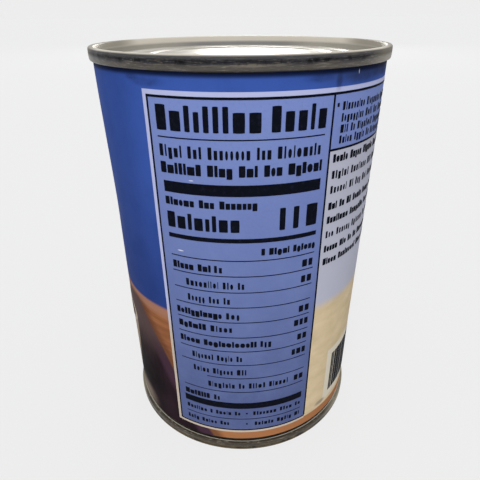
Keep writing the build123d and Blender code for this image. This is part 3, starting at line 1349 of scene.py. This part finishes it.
# %% Rules, bars and frames
rules = []
RULE_LEFT, RULE_RIGHT, RULE_HALF = -17.7, 18.6, 0.12
for middle in (68.5, 64.1, 59.4, 54.8, 50.0, 45.0, 40.1, 35.2, 24.8, 13.35):
    rules += bar(middle - RULE_HALF, middle + RULE_HALF, RULE_LEFT, RULE_RIGHT)
rules += bar(30.2 - RULE_HALF, 30.2 + RULE_HALF, -10.1, RULE_RIGHT)
rules += bar(96.8, 97.05, -18.3, 18.7)
for low, high in ((84.7, 87.3), (73.3, 74.4), (17.9, 20.3)):
    rules += bar(low, high, -17.9, 18.6)
for low, left, right in (
        (TABLE["Low"] - FRAME_LINE, TABLE["Left"] - FRAME_LINE, TABLE["Right"]),
        (TABLE["High"], TABLE["Left"] - FRAME_LINE, TABLE["Right"]),
        (TABLE["High"], SIDE_PANEL["Left"], SIDE_PANEL["Right"]),
        (SIDE_PANEL["Low"] - FRAME_LINE, SIDE_PANEL["Left"], SIDE_PANEL["Right"])):
    rules += bar(low, low + FRAME_LINE, left, right)
print_words("table_rules", rules, columns=61, rows=2)

uprights = []
for left in (TABLE["Left"] - FRAME_LINE, TABLE["Right"] - FRAME_LINE / 2):
    uprights += bar(TABLE["Low"], TABLE["High"], left, left + FRAME_LINE)
uprights += bar(SIDE_PANEL["Low"], SIDE_PANEL["High"], SIDE_PANEL["Right"] - FRAME_LINE,
                SIDE_PANEL["Right"])
print_words("table_frame", uprights, columns=2, rows=90)

stripes = []
left = CODE["Left"]
while left < CODE["Right"]:
    thick = draw.choice((0.7, 0.9, 1.3, 1.9))
    stripes += bar(CODE["Low"], CODE["High"], left, left + thick)
    left += thick + draw.choice((0.22, 0.22, 0.4))
dots = [bar(low, low + 0.55, 1.0, 1.55)[0] for low in (15.5, 10.9)]
print_words("striped_block", stripes + dots, columns=2, rows=15)

# %% [markdown]
# ## The beans in the bowl
#
# The bowl in the picture is full of beans. They are printed, so each is a flat bean-shaped
# patch of ink, and the heap is a random scatter. Distribute Points keeps a least distance
# between them, which packs them evenly. A bean nearer the viewer must lie over those behind,
# so each is lifted by a few hundredths of a millimetre more, the lower it sits. Each bean
# keeps its place within the stamp and a random shade, and its material paints the rounding
# from those.

# %% The tree that fills the bowl
PLENTY = 400000.0                         # more points a square metre than the spacing allows


def make_bean_tree():
    """Tree: nothing in, a heap of printed beans on the can out."""
    tree, given, result = shape_group("bowl_of_beans", {
        "Geometry": SHAPE, "Middle": 0.0, "Height": 0.0, "Half Width": 1.0, "Half Height": 1.0,
        "Spacing": 0.004, "Bean Length": 0.007, "Seed": 1, "Lift": 0.02 * MM,
        "Layers": 0.12 * MM, "Ink": 0.02 * MM, "Material": STUFF})
    oval = use_group(tree, stamp, {"Columns": 25, "Rows": 13, "Rounding": 1.0})
    heap = add(tree, "GeometryNodeTransform", {
        "Geometry": oval, "Translation": vector(given["Middle"], 0.0, given["Height"]),
        "Scale": vector(given["Half Width"] * 2.0, 1.0, given["Half Height"] * 2.0)})[0]
    points = add(tree, "GeometryNodeDistributePointsOnFaces", {
        "Mesh": heap, "Distance Min": given["Spacing"], "Density Max": PLENTY,
        "Seed": given["Seed"]}, distribute_method="POISSON")["Points"]
    at = here(tree)
    behind = (at[2] - given["Height"]) / given["Half Height"]
    front = 0.5 - behind * 0.5
    lift = given["Lift"] + given["Layers"] * front
    lifted = move(tree, points, by=vector(0.0, -lift, 0.0))

    bean = use_group(tree, stamp, {"Columns": 7, "Rows": 5, "Rounding": 1.0, "Bend": 0.35})
    turn = vector(0.0, random_number(tree, given, 3.0, -math.pi, math.pi), 0.0)
    long = given["Bean Length"] * random_number(tree, given, 5.0, 0.85, 1.1)
    size = vector(long, 1.0, long * random_number(tree, given, 7.0, 0.55, 0.68))
    heaped = add(tree, "GeometryNodeInstanceOnPoints", {
        "Points": lifted, "Instance": bean, "Rotation": turn, "Scale": size})[0]
    shade = random_number(tree, given, 11.0)
    shaded = keep(tree, heaped, "shade", shade, "INSTANCE", "FLOAT")
    real = add(tree, "GeometryNodeRealizeInstances", {"Geometry": shaded})[0]
    hand_out_rolled(tree, given, result, real, "Ink")
    return tree


# %% Bean print
def make_bean_print():
    """Printed beans: brown, paler towards the light, dark at the edge."""
    material, tree, shader = new_material("bean_print")
    spot = add(tree, "ShaderNodeAttribute", attribute_name="spot")["Vector"]
    shade = add(tree, "ShaderNodeAttribute", attribute_name="shade")["Fac"]
    art = Artwork(tree)
    out = add(tree, "ShaderNodeVectorMath", {0: spot}, operation="LENGTH")["Value"]
    to_light = add(tree, "ShaderNodeVectorMath", {0: spot, 1: (-0.2, 0.0, 0.32)},
                   operation="DISTANCE")["Value"]
    colour = mix(paint(118, 64, 42), paint(158, 96, 62), shade)
    colour = mix(colour, paint(58, 28, 20), ramp(out, 0.6, 1.0, 0.0, 0.85))
    colour = mix(colour, paint(206, 150, 112), ramp(to_light, 0.45, 0.1, 0.0, 0.7))
    colour = mix(colour, paint(90, 46, 32), art.smudges(0.9, 0.4, 0.1) * 0.4)
    art.finish(shader, colour, 0.4 + shade * 0.08, 0.004 * MM)
    return material


beans = grow("bowl_of_beans", make_bean_tree(), {
    "Middle": BOWL_MIDDLE * MM, "Height": (BOWL_RIM_HEIGHT + 0.6) * MM,
    "Half Width": (BOWL_HALF_WIDTH - 6.0) * MM, "Half Height": (BOWL_RIM_HALF - 3.4) * MM,
    "Spacing": 3.3 * MM, "Bean Length": 6.6 * MM, "Seed": 4, "Material": make_bean_print()})
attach(beans, "root")

# %% [markdown]
# ## Floor and light
#
# The can stands on a plain pale floor in a plain studio. As light, the world is dim at the
# sides and brighter overhead, so the sides of the can turn away softly. A broad sun from the
# front lights the paper evenly and gives the seam its shadow on it. Tin mirrors whatever
# stands round it, so the sun is hidden from reflections, and one wide window lamp far behind
# the can is what shines in the top end. The camera and the reflections see the floor and the
# world in one pale grey, so no horizon shows, and the floor still takes the can's shadow.

# %% Floor
PALE = paint(237, 237, 237)
FLOOR_GLOW = 0.708                        # with its own share of light, this adds up to PALE
OWN_SHARE = 0.10                          # how much of the floor's look comes from light on it


def finds_background(tree):
    """1 for the rays that should find a pale background, and 0 for those that carry light."""
    path = add(tree, "ShaderNodeLightPath")
    mirrored = calc("MAXIMUM", path["Is Glossy Ray"], path["Is Transmission Ray"])
    return calc("MAXIMUM", path["Is Camera Ray"], mirrored)


def make_floor():
    """A card that looks pale to the camera and in reflections, and returns less light."""
    material, tree, shader = new_material("floor_card")
    seen = finds_background(tree)
    own = (OWN_SHARE, OWN_SHARE, OWN_SHARE, 1.0)
    feed(shader.inputs["Base Color"], mix((0.34, 0.33, 0.32, 1.0), own, seen))
    shader.inputs["Roughness"].default_value = 1.0
    shader.inputs["Specular IOR Level"].default_value = 0.0
    shader.inputs["Emission Color"].default_value = (1.0, 1.0, 1.0, 1.0)
    feed(shader.inputs["Emission Strength"], seen * FLOOR_GLOW)
    return material


def put_in_scene(name, data):
    """A new object in the scene."""
    made = bpy.data.objects.new(name, data)
    bpy.context.scene.collection.objects.link(made)
    return made


half, floor_height = 20.0, -0.02 * MM
floor_mesh = bpy.data.meshes.new("floor")
floor_mesh.from_pydata(
    [(x, y, floor_height) for x, y in ((-half, -half), (half, -half), (half, half), (-half, half))],
    [], [(0, 1, 2, 3)])
floor_mesh.materials.append(make_floor())
floor = put_in_scene("floor", floor_mesh)


# %% World and sun
def make_world():
    """Pale to the camera and in reflections; as light it is dim at the sides, bright overhead."""
    world = bpy.data.worlds.new("studio")
    world.use_nodes = True
    tree = world.node_tree
    tree.nodes.clear()
    way = split(add(tree, "ShaderNodeTexCoord")["Generated"])
    light = mix((0.22, 0.22, 0.22, 1.0), (0.80, 0.80, 0.82, 1.0), ramp(way[2], 0.0, 0.8))
    seen = finds_background(tree)
    glow = add(tree, "ShaderNodeBackground", {"Color": mix(light, PALE, seen)})
    add(tree, "ShaderNodeOutputWorld", {"Surface": glow[0]})
    return world


bpy.context.scene.world = make_world()

sun = bpy.data.lights.new("sun", "SUN")
sun.energy = 3.0
sun.angle = math.radians(30)
sun_lamp = put_in_scene("sun", sun)
sun_lamp.visible_glossy = False           # tin mirrors the room, not a second sun
sun_lamp.rotation_euler = Vector((0.06, 0.83, -1.0)).to_track_quat("-Z", "Y").to_euler()

window = bpy.data.lights.new("window", "AREA")
window.shape = "RECTANGLE"
window.size, window.size_y = 0.36, 0.6
window.energy = 9.0
window_lamp = put_in_scene("window", window)
window_lamp.location = (0.05, 1.9, 0.42)
to_can = Vector((0, 0, 0.1)) - window_lamp.location
window_lamp.rotation_euler = to_can.to_track_quat("-Z", "Y").to_euler()

# %% [markdown]
# ## Camera
#
# The camera stands close to the can and a little above it, and looks down at its table. So
# near a lens, the can narrows clearly towards its foot. The shift only centres the can.

# %% Camera
camera_data = bpy.data.cameras.new("camera")
camera_data.sensor_width = 36.0
camera_data.lens = 31.87
camera_data.shift_x = -0.0032
camera_data.shift_y = 0.0433
camera_data.clip_start = 0.01
look_down, roll = math.radians(30.25), -0.007
camera = put_in_scene("camera", camera_data)
camera.location = (0.0, -0.1240, 0.1193)
tilt = Euler((math.pi / 2 - look_down, 0, 0)).to_matrix()
camera.rotation_euler = (tilt @ Matrix.Rotation(roll, 3, "Z")).to_euler()
bpy.context.scene.camera = camera
bpy.context.scene.view_settings.view_transform = "Standard"
